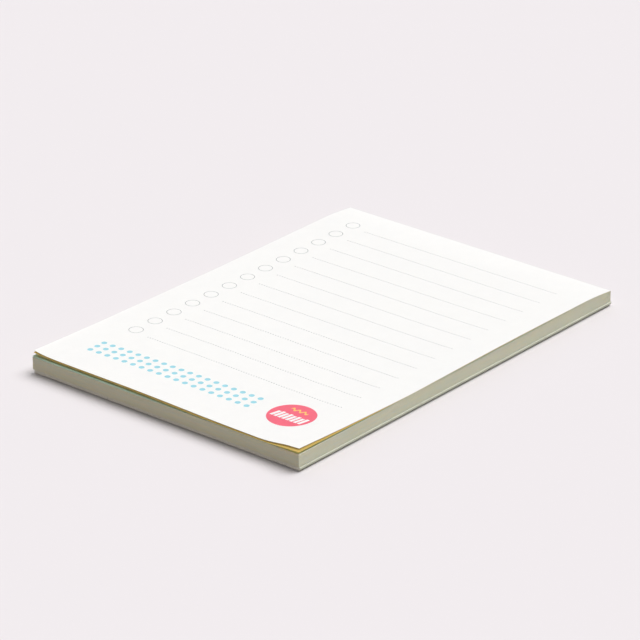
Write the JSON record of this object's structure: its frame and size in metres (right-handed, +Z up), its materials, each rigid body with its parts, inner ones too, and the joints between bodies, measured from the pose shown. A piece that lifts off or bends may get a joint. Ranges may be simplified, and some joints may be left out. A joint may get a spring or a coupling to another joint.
{
  "type": "carbonless duplicate book",
  "caption": "Small portrait writing pad of coloured carbonless copy sheets, glued along its head on a stiff greyboard, with the loose top set lifting at the foot.",
  "frame": {"origin": "middle of the page on the underside of the backing board, where the pad rests", "axes": "+X across the page to the right, +Y from the foot of the page to its glued head, +Z up out of the written side"},
  "size_m": [0.1487, 0.2103, 0.0105],
  "materials": {
    "greyboard": "unlined grey board, matt",
    "block_paper": "cut edges of mixed sheets, matt",
    "green_paper": "uncoated, matt",
    "yellow_paper": "uncoated, matt",
    "white_paper": "uncoated, printed, matt",
    "padding_glue": "dried white glue film, satin"
  },
  "bodies": {
    "root": {"backing_board": "greyboard", "page_block": "block_paper", "green_copy_sheet": "green_paper", "yellow_copy_sheet": "yellow_paper", "white_top_sheet": "white_paper", "head_glue": "padding_glue"}
  },
  "joints": []
}
